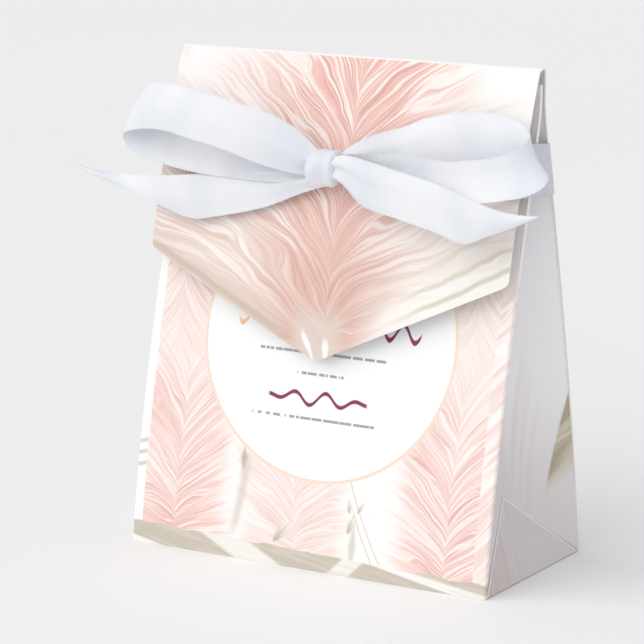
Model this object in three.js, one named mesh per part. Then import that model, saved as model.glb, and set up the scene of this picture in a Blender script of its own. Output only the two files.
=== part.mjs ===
// Tent favour box of folded card, closed by a pointed flap and a ribbon tied round it in a bow.
// Millimetres, +Z up, front towards -Y. The origin is the centre of the base, on its underside.
import * as THREE from 'three';

// The carton.
const WIDTH = 114;
const DEPTH = 57.5;
const HEIGHT = 140;
const CARD = 0.5;
const GAP = 0.3;
const HALF_WIDTH = WIDTH / 2;

// Both walls lean in along one curve, then run parallel where the folded layers press together.
const LEAN_END = 0.945 * HEIGHT;
const LEAN_POWER = 1.28;
const LAYERS_HALF = 1.6;

// The side panels fold inwards from an apex above each base side crease.
const SIDE_HALF_WIDTH = 27.9;
const APEX_HEIGHT = 20.8;
const APEX_INSET = 9.9;
const CREASE_GAP = 0.6;
const FACET_BOTTOM = 0.3;
const WALL_TOP = 135.6;

// The closure flap: its outer face stands off the hinge line by FLAP_OUT + SLOPE*drop - CURL*drop^2.
const HINGE_DROP = 0.25;
const FLAP_OUT = 1.8;
const FLAP_SLOPE = 0.4;
const FLAP_CURL = 0.0018;
const FLAP_TIP_DROP = 81.7;
const FLAP_HALF = 56.7;
const FLAP_POINT_SLOPE = 0.46;
const FLAP_TIP_HALF = 1.2;

// The folded edges that stand inside the walls, and the narrow top fold.
const FACET_HALF_LENGTH = 28;
const FACET_TIP = 0.975;
const RIDGE_FRONT = 1.1;

// The closed bottom: the outer panel, the tuck flap from the back and the two dust flaps.
const BASE_HALF = [55.8, 27.9];
const TUCK_HALF_LENGTH = 54.8;
const TUCK_BACK = 27.7;
const TUCK_REACH = 10;
const DUST_OUTER = 54.2;
const DUST_INNER = 30;
const DUST_HALF_WIDTH = 26.5;

// The satin ribbon.
const RIBBON_WIDTH = 14;
const RIBBON = 0.5;
const BELT_BOTTOM = 105.5;
const BELT_TOP = BELT_BOTTOM + RIBBON_WIDTH;
const BELT_CLEAR = 0.5;
const BELT_CORNER = 1.2;
const KNOT_CENTRE = [0, -18.6, 110.6];
const KNOT_HALF = [5.6, 4.6, 6.2];

// How finely the curved pieces are divided.
const WALL_ROWS = 24;
const FACET_ROWS = 6;
const GUSSET_GRID = [3, 20];
const FLAP_STRAIGHT_ROWS = 14;
const FLAP_POINT_ROWS = 10;
const BELT_CORNER_STEPS = 3;
const BELT_ROWS = 4;
const KNOT_GRID = [20, 12];
const LOOP_STEPS = 32;
const TAIL_STEPS = 16;

const CARD_ROUGHNESS = 0.55;
const SATIN_ROUGHNESS = 0.35;

const finish = (name, color, roughness) => (
  new THREE.MeshStandardMaterial({ name, color, roughness, metalness: 0 })
);
const PRINTED = finish('printed card', '#f4dcd6', CARD_ROUGHNESS);
const SIDE = finish('pale printed card', '#f3efee', CARD_ROUGHNESS);
const PLAIN = finish('plain white card', '#f7f5f2', CARD_ROUGHNESS);
const SATIN = finish('white satin', '#f1f4f6', SATIN_ROUGHNESS);

const tentBox = new THREE.Group();

function add(name, geometry, material) {
  const mesh = new THREE.Mesh(geometry, material);
  mesh.name = name;
  tentBox.add(mesh);
}

// A closed slab between two surfaces, each a function of (u, v) giving [x, y, z].
// In a ring, u comes back to its start, so the slab has no end faces.
function slab(outer, inner, columns, rows, ring = false) {
  const points = [];
  for (const surface of [outer, inner]) {
    for (let row = 0; row <= rows; row += 1) {
      for (let column = 0; column <= columns; column += 1) {
        points.push(surface(column / columns, row / rows));
      }
    }
  }
  const side = (columns + 1) * (rows + 1);
  const at = (column, row, layer) => layer * side + row * (columns + 1) + (ring ? column % columns : column);
  const faces = [];
  const quad = (a, b, c, d) => faces.push(a, b, c, a, c, d);
  for (let row = 0; row < rows; row += 1) {
    for (let column = 0; column < columns; column += 1) {
      const corners = [[column, row], [column + 1, row], [column + 1, row + 1], [column, row + 1]];
      quad(...corners.map(([c, r]) => at(c, r, 0)));
      quad(...corners.reverse().map(([c, r]) => at(c, r, 1)));
    }
  }
  for (let column = 0; column < columns; column += 1) {
    quad(at(column, 0, 1), at(column + 1, 0, 1), at(column + 1, 0, 0), at(column, 0, 0));
    quad(at(column, rows, 0), at(column + 1, rows, 0), at(column + 1, rows, 1), at(column, rows, 1));
  }
  if (!ring) {
    for (let row = 0; row < rows; row += 1) {
      quad(at(0, row, 1), at(0, row, 0), at(0, row + 1, 0), at(0, row + 1, 1));
      quad(at(columns, row, 0), at(columns, row, 1), at(columns, row + 1, 1), at(columns, row + 1, 0));
    }
  }
  const geometry = new THREE.BufferGeometry();
  geometry.setAttribute('position', new THREE.Float32BufferAttribute(points.flat(), 3));
  geometry.setIndex(faces);
  turnOutwards(geometry);
  geometry.computeVertexNormals();
  return geometry;
}

// Flips every face when the signed volume says that they point inwards.
function turnOutwards(geometry) {
  const position = geometry.getAttribute('position');
  const index = geometry.getIndex();
  const corner = [0, 1, 2].map(() => new THREE.Vector3());
  let volume = 0;
  for (let face = 0; face < index.count; face += 3) {
    corner.forEach((point, k) => point.fromBufferAttribute(position, index.getX(face + k)));
    volume += corner[0].dot(corner[1].clone().cross(corner[2]));
  }
  if (volume > 0) return;
  for (let face = 0; face < index.count; face += 3) {
    const first = index.getX(face);
    index.setX(face, index.getX(face + 2));
    index.setX(face + 2, first);
  }
}

const mix = THREE.MathUtils.lerp;

// Distance of a wall's outer face from the middle plane at height z.
function wallHalfDepth(z) {
  const lean = Math.max(0, 1 - (z / LEAN_END) ** LEAN_POWER) * (DEPTH / 2);
  return Math.hypot(lean, LAYERS_HALF);
}

// side is -1 for the front wall and +1 for the back one.
function wallPanel(side, top) {
  const face = (depth) => (u, v) => {
    const z = v * top;
    return [mix(-HALF_WIDTH, HALF_WIDTH, u), side * (wallHalfDepth(z) - depth), z];
  };
  return slab(face(0), face(CARD), 1, WALL_ROWS);
}

// Flat layers of the closed bottom, from the outside in.
function basePanel(low, high, level) {
  const box = new THREE.BoxGeometry(high[0] - low[0], high[1] - low[1], CARD);
  box.translate((low[0] + high[0]) / 2, (low[1] + high[1]) / 2, level + CARD / 2);
  return box;
}

// The triangle above a base side crease, leaning in to the apex. side is -1 left, +1 right.
function sideFacet(side) {
  const rise = APEX_HEIGHT - FACET_BOTTOM;
  const slope = Math.hypot(rise, APEX_INSET);
  const face = (depth) => (u, v) => {
    const level = v * FACET_TIP;
    const halfLength = FACET_HALF_LENGTH * (1 - level);
    const x = HALF_WIDTH - level * APEX_INSET - depth * rise / slope;
    const z = FACET_BOTTOM + level * rise - depth * APEX_INSET / slope;
    return [side * x, mix(-halfLength, halfLength, u), z];
  };
  return slab(face(0), face(CARD), 1, FACET_ROWS);
}

// Half of a folded side panel, from the wall's side edge in to the centre crease.
// side is -1 left and +1 right, wall is -1 for the front half and +1 for the back half.
function gussetHalf(side, wall) {
  const hidden = CARD + GAP + CARD;
  const face = (depth) => (u, v) => {
    const edgeZ = mix(FACET_BOTTOM + CREASE_GAP, WALL_TOP, v);
    const creaseZ = mix(APEX_HEIGHT + CREASE_GAP, WALL_TOP, v);
    const reach = wallHalfDepth(creaseZ);
    const inset = Math.sqrt(SIDE_HALF_WIDTH ** 2 - reach ** 2);
    const edge = [HALF_WIDTH, wallHalfDepth(edgeZ) - hidden];
    const crease = [HALF_WIDTH - inset, GAP];
    const length = Math.hypot(edge[0] - crease[0], edge[1] - crease[1]);
    const normal = [(edge[1] - crease[1]) / length, (edge[0] - crease[0]) / length];
    const x = mix(edge[0], crease[0], u) - normal[0] * depth;
    const y = mix(edge[1], crease[1], u) + normal[1] * depth;
    return [side * x, wall * y, mix(edgeZ, creaseZ, u)];
  };
  return slab(face(0), face(CARD), ...GUSSET_GRID);
}

// The narrow top fold between the back wall and the flap.
function ridgeStrip() {
  const box = new THREE.BoxGeometry(WIDTH - 2 * GAP, LAYERS_HALF + RIDGE_FRONT, CARD);
  box.translate(0, (LAYERS_HALF - RIDGE_FRONT) / 2, HEIGHT - CARD / 2);
  return box;
}

const flapOut = (drop) => FLAP_OUT + FLAP_SLOPE * drop - FLAP_CURL * drop ** 2;

function flapHalfWidth(drop) {
  return Math.min(FLAP_HALF, FLAP_TIP_HALF + (FLAP_TIP_DROP - drop) / FLAP_POINT_SLOPE);
}

function closureFlap() {
  const shoulder = FLAP_TIP_DROP - (FLAP_HALF - FLAP_TIP_HALF) * FLAP_POINT_SLOPE;
  const rows = FLAP_STRAIGHT_ROWS + FLAP_POINT_ROWS;
  const face = (depth) => (u, v) => {
    const past = v * rows - FLAP_STRAIGHT_ROWS;
    const drop = past <= 0
      ? mix(shoulder, HINGE_DROP, -past / FLAP_STRAIGHT_ROWS)
      : mix(shoulder, FLAP_TIP_DROP, past / FLAP_POINT_ROWS);
    const lean = Math.atan(FLAP_SLOPE - 2 * FLAP_CURL * drop);
    const x = mix(-1, 1, u) * flapHalfWidth(drop);
    return [x, -flapOut(drop) + depth * Math.cos(lean), HEIGHT - drop - depth * Math.sin(lean)];
  };
  return slab(face(0), face(CARD), 2, rows);
}

// The band of ribbon round the box: over the flap in front, along the wall behind.
function ribbonBelt() {
  const corners = [[1, -1, -90], [1, 1, 0], [-1, 1, 90], [-1, -1, 180]];
  const stops = corners.flatMap(([sx, sy, start]) => (
    Array.from({ length: BELT_CORNER_STEPS + 1 }, (_, step) => {
      const angle = THREE.MathUtils.degToRad(start + 90 * step / BELT_CORNER_STEPS);
      return { sx, sy, cos: Math.cos(angle), sin: Math.sin(angle) };
    })
  ));
  const face = (thickness) => (u, v) => {
    const stop = stops[Math.round(u * stops.length) % stops.length];
    const z = mix(BELT_BOTTOM, BELT_TOP, v);
    const wall = stop.sy < 0 ? flapOut(HEIGHT - z) : wallHalfDepth(z);
    const radius = BELT_CORNER + thickness;
    const x = stop.sx * (HALF_WIDTH + BELT_CLEAR - BELT_CORNER) + radius * stop.cos;
    const y = stop.sy * (wall + BELT_CLEAR - BELT_CORNER) + radius * stop.sin;
    return [x, y, z];
  };
  return slab(face(RIBBON), face(0), stops.length, BELT_ROWS, true);
}

function knot() {
  const ball = new THREE.SphereGeometry(1, ...KNOT_GRID);
  ball.scale(...KNOT_HALF);
  ball.translate(...KNOT_CENTRE);
  return ball;
}

// A strip of ribbon standing on edge along a smooth path. Each stop is [x, y, z, width].
function strip(stops, steps) {
  const centres = stops.map(([x, y, z]) => new THREE.Vector3(x, y, z));
  const path = new THREE.CatmullRomCurve3(centres, false, 'centripetal');
  const widths = stops.map((stop) => stop[3]);
  const widthAt = (t) => {
    const place = t * (widths.length - 1);
    const before = Math.min(Math.floor(place), widths.length - 2);
    return mix(widths[before], widths[before + 1], place - before);
  };
  const face = (sign) => (u, v) => {
    const point = path.getPoint(u);
    const along = path.getTangent(u);
    const flat = Math.hypot(along.x, along.y);
    const shift = sign * RIBBON / 2;
    return [
      point.x + shift * along.y / flat,
      point.y - shift * along.x / flat,
      point.z + mix(-0.5, 0.5, v) * widthAt(u),
    ];
  };
  return slab(face(1), face(-1), steps, 1);
}

const LEFT_LOOP = [
  [-6.4, -15.4, 114, 8],
  [-22, -14.6, 118, 12.5],
  [-45, -14.4, 120.6, 14],
  [-60, -15.6, 120.2, 14],
  [-66.6, -18.6, 117.5, 13],
  [-61.5, -23.4, 113.4, 10],
  [-42, -25.4, 111.6, 9],
  [-24, -24.6, 109.4, 7],
  [-6.6, -22, 110, 6],
];
const RIGHT_LOOP = [
  [6.4, -15.4, 114, 8],
  [20, -14.6, 116.8, 12.5],
  [40, -14.2, 121.3, 14],
  [56, -14.8, 120.2, 14],
  [66.8, -18.4, 117.6, 13],
  [63, -23.4, 114.4, 12],
  [46, -25.2, 112.8, 8],
  [28, -24.6, 113.6, 6],
  [6.6, -22, 112.4, 5],
];
const LEFT_TAIL = [
  [-6.4, -18.2, 106, 5],
  [-22, -19.4, 101.4, 9],
  [-41, -20.4, 99.8, 12],
  [-56, -20.6, 100.4, 9],
  [-83.6, -20.4, 105.6, 1],
];
const RIGHT_TAIL = [
  [6.6, -19.4, 107.6, 6],
  [26, -19.8, 106.2, 12],
  [46, -20.2, 102, 13],
  [56, -20.4, 101.6, 8],
  [67.6, -20.6, 103.6, 1],
];

const [BASE_X, BASE_Y] = BASE_HALF;
const TUCK_LOW = [-TUCK_HALF_LENGTH, -TUCK_REACH];
const TUCK_HIGH = [TUCK_HALF_LENGTH, TUCK_BACK];
const TUCK_LEVEL = CARD + GAP;
const DUST_LEVEL = 2 * TUCK_LEVEL;
const DUST_LEFT = [[-DUST_OUTER, -DUST_HALF_WIDTH], [-DUST_INNER, DUST_HALF_WIDTH]];
const DUST_RIGHT = [[DUST_INNER, -DUST_HALF_WIDTH], [DUST_OUTER, DUST_HALF_WIDTH]];
add('base_panel', basePanel([-BASE_X, -BASE_Y], [BASE_X, BASE_Y], 0), PLAIN);
add('base_tuck_flap', basePanel(TUCK_LOW, TUCK_HIGH, TUCK_LEVEL), PLAIN);
add('base_dust_flap_left', basePanel(...DUST_LEFT, DUST_LEVEL), PLAIN);
add('base_dust_flap_right', basePanel(...DUST_RIGHT, DUST_LEVEL), PLAIN);
add('front_panel', wallPanel(-1, WALL_TOP), PRINTED);
add('back_panel', wallPanel(1, HEIGHT - CARD - GAP), PRINTED);
add('side_facet_left', sideFacet(-1), SIDE);
add('side_facet_right', sideFacet(1), SIDE);
add('gusset_front_left', gussetHalf(-1, -1), SIDE);
add('gusset_front_right', gussetHalf(1, -1), SIDE);
add('gusset_back_left', gussetHalf(-1, 1), SIDE);
add('gusset_back_right', gussetHalf(1, 1), SIDE);
add('ridge_strip', ridgeStrip(), PRINTED);
add('closure_flap', closureFlap(), PRINTED);
add('ribbon_belt', ribbonBelt(), SATIN);
add('bow_knot', knot(), SATIN);
add('bow_loop_left', strip(LEFT_LOOP, LOOP_STEPS), SATIN);
add('bow_loop_right', strip(RIGHT_LOOP, LOOP_STEPS), SATIN);
add('bow_tail_left', strip(LEFT_TAIL, TAIL_STEPS), SATIN);
add('bow_tail_right', strip(RIGHT_TAIL, TAIL_STEPS), SATIN);

export default tentBox;
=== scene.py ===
# The looks of a tent favour box: a folded, printed card carton tied round with a white satin ribbon.
# Lengths in this script are millimetres until a mesh, light or camera is made; +Z is up, -Y is the front.
import math

import bpy
import numpy as np
from mathutils import Matrix, Vector


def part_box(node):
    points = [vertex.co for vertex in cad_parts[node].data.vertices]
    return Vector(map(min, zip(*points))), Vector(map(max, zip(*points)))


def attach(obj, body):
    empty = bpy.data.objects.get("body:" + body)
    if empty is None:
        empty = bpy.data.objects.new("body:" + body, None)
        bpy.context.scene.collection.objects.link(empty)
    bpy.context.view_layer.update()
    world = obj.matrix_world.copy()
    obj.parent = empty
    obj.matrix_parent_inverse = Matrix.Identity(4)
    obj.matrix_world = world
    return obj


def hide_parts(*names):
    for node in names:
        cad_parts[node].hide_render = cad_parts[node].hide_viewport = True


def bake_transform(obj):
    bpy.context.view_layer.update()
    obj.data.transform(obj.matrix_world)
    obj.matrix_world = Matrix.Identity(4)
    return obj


MM = 0.001

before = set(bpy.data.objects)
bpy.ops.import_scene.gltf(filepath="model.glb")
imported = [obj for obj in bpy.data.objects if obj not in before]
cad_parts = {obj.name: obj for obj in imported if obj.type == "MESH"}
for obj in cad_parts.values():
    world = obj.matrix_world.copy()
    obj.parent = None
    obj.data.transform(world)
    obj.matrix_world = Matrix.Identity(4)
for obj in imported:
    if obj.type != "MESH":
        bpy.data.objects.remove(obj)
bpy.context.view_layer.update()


def node_box(node):
    low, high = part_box(node)
    return low / MM, high / MM


# ---- sizes, from the frame
front_low, front_high = node_box("front_panel")
_, back_high = node_box("back_panel")
flap_low, flap_high = node_box("closure_flap")
belt_low, belt_high = node_box("ribbon_belt")
HALF_WIDTH = (front_high.x - front_low.x) / 2
WALL_TOP = front_high.z
HEIGHT = node_box("ridge_strip")[1].z
CARD = 0.45  # thickness
LAYERS_HALF = 1.6  # half depth that the walls lean in to, under the ridge
BASE_HALF = math.sqrt(back_high.y**2 - LAYERS_HALF**2)
LEAN_END = 0.945 * HEIGHT
LEAN_POWER = 1.28
# Half of a side's flat width, and the point where its facet meets the centre crease.
SIDE_HALF = 27.9
APEX = Vector((HALF_WIDTH - 9.9, 0, 20.8))
FACET_FLAT_HEIGHT = 22.8
# The creases of a folded side start and end a little inside the wall.
CREASE_FOOT = 0.3
CREASE_TOP = WALL_TOP - 0.4
FLAP_OUT = 1.8
FLAP_SLOPE = 0.4
FLAP_CURL = 0.0018
FLAP_TIP_DROP = HEIGHT - flap_low.z
FLAP_TIP_HALF = 1.2
FLAP_HALF = flap_high.x
FLAP_POINT_SLOPE = 0.46
FLAP_POINT_COS = 0.909
FLAP_CORNER = 2.5  # radius of the shoulders
FLAP_HINGE_DROP = 2.5
RIBBON_WIDTH = belt_high.z - belt_low.z
RIBBON = 0.2  # thickness
UV_SCALE = 100.0  # millimetres of flat sheet to one UV unit


def wall_half_depth(z):
    """Distance of a wall's outer face from the middle plane at height z."""
    lean = np.clip(1 - (z / LEAN_END) ** LEAN_POWER, 0, 1) * BASE_HALF
    return np.hypot(lean, LAYERS_HALF)


def flap_out(drop):
    """Distance of the flap's outer face in front of the middle plane, drop below the ridge."""
    return FLAP_OUT + FLAP_SLOPE * drop - FLAP_CURL * drop**2


def arc_length(points):
    """Running length along a row of points."""
    return np.concatenate([[0], np.cumsum(np.linalg.norm(np.diff(points, axis=0), axis=1))])


def add_object(name, data):
    made = bpy.data.objects.new(name, data)
    bpy.context.scene.collection.objects.link(made)
    return made


# ---- camera
AZIMUTH, ELEVATION, ROLL = map(math.radians, (30.5895, 11.3945, 0.38367))
DISTANCE = 831.6
TARGET = Vector((-11.378, 0.093, 63.72))
LENS = 164.24
SENSOR = 36


def make_camera():
    """The camera at the photograph's viewing angle, fitted to the carton's edges."""
    data = bpy.data.cameras.new("camera")
    data.lens = LENS
    data.sensor_width = SENSOR
    data.clip_start = 0.01
    data.clip_end = 50
    camera = add_object("camera", data)
    back = Vector((
        math.sin(AZIMUTH) * math.cos(ELEVATION),
        -math.cos(AZIMUTH) * math.cos(ELEVATION),
        math.sin(ELEVATION),
    ))
    right = (-back).cross(Vector((0, 0, 1))).normalized()
    up = right.cross(-back)
    turn = Matrix.Rotation(ROLL, 3, back)
    axes = Matrix((turn @ right, turn @ up, back)).transposed()
    camera.matrix_world = Matrix.Translation((TARGET + back * DISTANCE) * MM) @ axes.to_4x4()
    bpy.context.scene.camera = camera


make_camera()


# ---- node materials, written as sums
def rgb(red, green, blue):
    """A linear colour from 0 to 255 display values."""
    def linear(value):
        value /= 255
        return value / 12.92 if value <= 0.04045 else ((value + 0.055) / 1.055) ** 2.4
    return (linear(red), linear(green), linear(blue), 1)


def operator(operation, swapped=False):
    """A method that joins a field to another value by a Math node."""
    def join(self, other):
        values = (other, self) if swapped else (self, other)
        return self.shop.math(operation, *values)
    return join


class Field:
    """A node's output that adds, multiplies and so on as a number does."""

    def __init__(self, shop, socket):
        self.shop = shop
        self.socket = socket

    def apply(self, operation, *others):
        return self.shop.math(operation, self, *others)

    def __abs__(self):
        return self.apply("ABSOLUTE")

    __add__ = __radd__ = operator("ADD")
    __mul__ = operator("MULTIPLY")
    __sub__ = operator("SUBTRACT")
    __rsub__ = operator("SUBTRACT", swapped=True)
    __truediv__ = operator("DIVIDE")
    __pow__ = operator("POWER")


# Where a colour Mix node keeps its colour sockets.
MIX_SHARE, MIX_FIRST, MIX_SECOND, MIX_RESULT = 0, 6, 7, 2


class Shop:
    """One material and the nodes that it is built from."""

    def __init__(self, name):
        self.material = bpy.data.materials.new(name)
        self.material.use_nodes = True
        self.tree = self.material.node_tree
        self.shader = self.tree.nodes["Principled BSDF"]
        self.colour = None

    def plug(self, value, socket):
        """Links a field to a socket, or sets a plain value on it."""
        if isinstance(value, Field):
            self.tree.links.new(value.socket, socket)
        else:
            socket.default_value = value

    def node(self, kind, settings, inputs, output=0):
        made = self.tree.nodes.new(kind)
        for key, value in settings.items():
            setattr(made, key, value)
        for key, value in inputs.items():
            self.plug(value, made.inputs[key])
        return Field(self, made.outputs[output])

    def math(self, operation, *values):
        return self.node("ShaderNodeMath", {"operation": operation}, dict(enumerate(values)))

    def mix(self, share, first, second):
        """The first colour where share is 0, the second where it is 1."""
        made = self.tree.nodes.new("ShaderNodeMix")
        made.data_type = "RGBA"
        self.plug(share, made.inputs[MIX_SHARE])
        self.plug(first, made.inputs[MIX_FIRST])
        self.plug(second, made.inputs[MIX_SECOND])
        return Field(self, made.outputs[MIX_RESULT])

    def lay(self, share, ink):
        """Lays ink over a share of the colour so far."""
        self.colour = self.mix(share, self.colour, ink)

    def print_place(self):
        """Millimetres across and up the flat, unfolded sheet."""
        uv = self.tree.nodes.new("ShaderNodeUVMap")
        uv.uv_map = "sheet"
        split = self.tree.nodes.new("ShaderNodeSeparateXYZ")
        self.tree.links.new(uv.outputs[0], split.inputs[0])
        return [Field(self, split.outputs[axis]) * UV_SCALE for axis in range(2)]

    def body_place(self):
        """Millimetres in the object's own frame, for what has no unfolded sheet."""
        place = self.node("ShaderNodeTexCoord", {}, {}, "Object")
        split = self.tree.nodes.new("ShaderNodeSeparateXYZ")
        self.tree.links.new(place.socket, split.inputs[0])
        return [Field(self, split.outputs[axis]) * (1 / MM) for axis in range(3)]

    def bump(self, height, strength, distance):
        """Relief on the shader's normal; distance is in metres."""
        inputs = {"Height": height, "Strength": strength, "Distance": distance}
        field = self.node("ShaderNodeBump", {}, inputs)
        self.plug(field, self.shader.inputs["Normal"])

    def finish(self, roughness, **values):
        """Sets the shader's sockets, named with _ for each space, and gives the material."""
        self.plug(self.colour, self.shader.inputs["Base Color"])
        self.plug(roughness, self.shader.inputs["Roughness"])
        for key, value in values.items():
            self.plug(value, self.shader.inputs[key.replace("_", " ")])
        return self.material


# Colours, by what they are for. In the prints, lengths are millimetres on the flat sheet, and the
# numbers inside noise() are frequencies per millimetre with a seed.
# Shared by the prints:
WHITE = rgb(253, 252, 251)
PALE = rgb(252, 240, 236)
OLIVE = rgb(196, 190, 168)
CREAM = rgb(249, 243, 236)
# The flap's plume:
FLAP_OUTER = rgb(249, 232, 226)
FLAP_OUTER_LOW = rgb(240, 224, 214)
FLAP_HEART = rgb(243, 200, 190)
FLAP_HEART_LOW = rgb(230, 192, 181)
FLAP_DEEP = rgb(240, 188, 177)
FLAP_DEEP_LOW = rgb(218, 180, 168)
FLAP_SHADE = rgb(205, 158, 145)
FLAP_VEIN = rgb(255, 248, 243)
# The flap's edges and point:
TAUPE = rgb(205, 196, 180)
RIM_WASH = rgb(222, 205, 193)
RIM_LINE = rgb(192, 178, 160)
RIM_PALE = rgb(252, 250, 246)
RIM_OLIVE = rgb(203, 197, 172)
TIP_GREY = rgb(226, 216, 205)
# The smaller plumes:
PLUME_PALE = rgb(250, 228, 222)
PLUME_DEEP = rgb(236, 187, 177)
PLUME_SHADE = rgb(218, 168, 155)
PLUME_VEIN = rgb(255, 248, 245)
PLUME_EDGE = rgb(204, 190, 176)
# Leaves, stems and brush marks:
LEAF_RIB = rgb(168, 160, 132)
SPOT_OLIVE = rgb(158, 150, 126)
SMEAR_OLIVE = rgb(205, 198, 178)
STEM_OLIVE = rgb(190, 184, 158)
STROKE_OLIVE = rgb(198, 192, 172)
# The band along the base, and the margins:
BAND_PALE = rgb(249, 247, 243)
BAND_OLIVE = rgb(200, 192, 176)
BAND_STREAK = rgb(226, 217, 204)
MARGIN_PALE = rgb(253, 243, 240)
MARGIN_PINK = rgb(246, 222, 216)
# The disc:
DISC_WHITE = rgb(254, 254, 254)
PEACH = rgb(250, 224, 206)
PEACH_INK = rgb(248, 200, 158)
GREY_INK = rgb(120, 116, 118)
PLUM_INK = rgb(140, 52, 96)
# The folded sides:
SIDE_WHITE = rgb(250, 249, 251)
SIDE_PINK = rgb(236, 212, 208)
SIDE_FOOT_SHADE = rgb(226, 219, 220)
SIDE_LEAF_DARK = rgb(178, 168, 138)
SIDE_LEAF_LIGHT = rgb(214, 206, 182)
SIDE_LEAF_RIB = rgb(232, 226, 208)
# The facets:
FACET_SHADE_GREY = rgb(224, 218, 219)
FACET_PINK = rgb(219, 198, 196)
FACET_STREAK = rgb(220, 190, 186)
SCORE_HIGHLIGHT = rgb(250, 249, 250)
# The painted shade at the ribbon's picot stitches, and the floor:
PICOT_SHADE = rgb(220, 224, 235)
FLOOR_LIGHT = rgb(249, 249, 249)
FLOOR_DARK = rgb(247, 247, 247)


def step(value, low, high):
    """0 where value is under low, 1 over high, smooth between; the other way round if high < low."""
    flip = high < low
    inputs = {"Value": value, "From Min": min(low, high), "From Max": max(low, high)}
    inputs.update({"To Min": 1.0 if flip else 0.0, "To Max": 0.0 if flip else 1.0})
    return value.shop.node("ShaderNodeMapRange", {"interpolation_type": "SMOOTHSTEP"}, inputs)


def noise(x, y, seed, detail=2.0):
    """A smooth cloud from 0 to 1 with a mean of one half, whose features are about 1 unit wide."""
    where = x.shop.node("ShaderNodeCombineXYZ", {}, {0: x, 1: y, 2: seed})
    inputs = {"Vector": where, "Scale": 1.0, "Detail": detail, "Roughness": 0.5}
    return x.shop.node("ShaderNodeTexNoise", {"noise_dimensions": "3D"}, inputs, "Fac")


def crease(x, y, level, width):
    """Thin lines, of uneven spacing and length, where a cloud crosses a level."""
    cloud = noise(x, y, level, 1.0)
    return step(abs(cloud - 0.5), width, width * 0.25)


def barbs(line, run, seed):
    """Feather barbs along the level curves of line, which is in millimetres across them.

    run is the distance along them. Gives the share of white veins, of tint and of shaded veins.
    """
    sway = (noise(run * 0.045, line * 0.16, seed, 1.0) - 0.5) * 7.0
    lane = line + sway
    broad = noise(lane * 0.42, run * 0.016, seed + 1, 1.0)
    fine = noise(lane * 1.5, run * 0.03, seed + 2, 1.0)
    tint = step(broad * 0.55 + fine * 0.45, 0.37, 0.62)
    vein = crease(lane * 0.62, run * 0.016, seed + 3, 0.05)
    hair = crease(lane * 1.15, run * 0.026, seed + 5, 0.045)
    shade = crease(lane * 0.8, run * 0.02, seed + 7, 0.05)
    return (vein + hair * 0.4).apply("MINIMUM", 1.0), tint, shade


def fan(x, y, root, bend, least, stretch, width, droop):
    """Barbs that leave a shaft upwards and arch out: where each leaves it, and how far out a point is.

    The lowest barb climbs stretch * least / droop over width, and high ones climb stretch.
    """
    warp = (noise(x * 0.06, y * 0.06, root[0]) - 0.5) * 4.0
    across = x - root[0] - (y - root[1]) * bend + warp * 0.6
    side = abs(across)
    climb = (side * (1 / width)) ** 0.68 * stretch
    rise = y - root[1] + warp
    half = (climb - rise + droop) * 0.5
    inside = half * half + rise * droop - climb * least
    start = inside.apply("MAXIMUM", 0.0).apply("SQRT") - half
    return start, across, side


def spread_line(start, across, droop):
    """Where each barb starts, spaced so that the barbs of the root are no wider than the others."""
    hand = across.apply("SIGN") * 57.0
    level = start.apply("MAXIMUM", droop * -0.9)
    return level + level * 14.0 / (level + droop + 2.0) + hand


def card_finish(shop, gloss=0.5):
    """Print on smooth white board: a satin varnish over a faint fibre grain."""
    x, y = shop.print_place()
    fibre = noise(x * 1.6, y * 1.6, 3.0, 4.0)
    flow = noise(x * 0.05, y * 0.05, 9.0, 1.0)
    shop.bump(fibre * 0.6 + flow * 2.0, 0.05, 0.0004)
    roughness = 0.04 + gloss + fibre * 0.1
    return shop.finish(roughness, Specular_IOR_Level=0.35)


FLAP_ROOT = (2.0, -6.0)
FLAP_DROOP = 26.0
RIGHT_DROP = 0.24


def flap_print():
    """One large plume that rises from the flap's point and arches out to both corners."""
    shop = Shop("flap_print")
    x, y = shop.print_place()
    side = abs(x)
    # The right-hand barbs lie lower than the left-hand ones.
    right_half = step(x, -6.0, 10.0)
    lifted = y + right_half * (x.apply("MAXIMUM", 0.0) * RIGHT_DROP)
    start, across, away = fan(
        x, lifted, FLAP_ROOT, bend=0.02, least=14.0, stretch=62.0, width=57.0, droop=FLAP_DROOP,
    )
    line = spread_line(start, across, FLAP_DROOP)
    vein, tint, shade = barbs(line * 0.5, away * 0.6 + y * 0.6, 3.0)
    low = step(y, 60.0, 24.0)
    heart = step(away - y * 0.12, 30.0, 2.0)
    outer = shop.mix(low, FLAP_OUTER, FLAP_OUTER_LOW)
    inner = shop.mix(low, FLAP_HEART, FLAP_HEART_LOW)
    shop.colour = shop.mix(heart, outer, inner)
    deeper = shop.mix(low, FLAP_DEEP, FLAP_DEEP_LOW)
    shop.lay(tint * (heart * 0.5 + 0.28), deeper)
    shop.lay(shade * (heart * 0.4 + 0.15), FLAP_SHADE)
    cream = step(x - y * 0.1, 4.0, 34.0) * step(y, 92.0, 60.0)
    shop.lay(cream * (0.85 - tint * 0.4), CREAM)
    vein_share = step(y + away * 0.9, 26.0, 60.0) * 0.55 + 0.25
    shop.lay(vein * vein_share, FLAP_VEIN)
    cloud = noise(line * 0.2, y * 0.03, 2.0)
    corner = step(y + side * 0.8, 98.0, 124.0) * step(cloud, 0.25, 0.55)
    shop.lay(corner * 0.9, WHITE)
    upper_right = step(x + (y - 90.0) * 0.25, 30.0, 46.0) * step(y, 66.0, 80.0)
    shop.lay(upper_right * 0.9, WHITE)
    left_edge = step(x, -51.0, -56.0) * step(y, 74.0, 96.0)
    left_edge = left_edge * noise(x * 0.4, y * 0.2, 8.0)
    shop.lay(left_edge * 1.1, TAUPE)
    flap_rim(shop, x, y, side)
    return card_finish(shop, 0.42)


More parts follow.
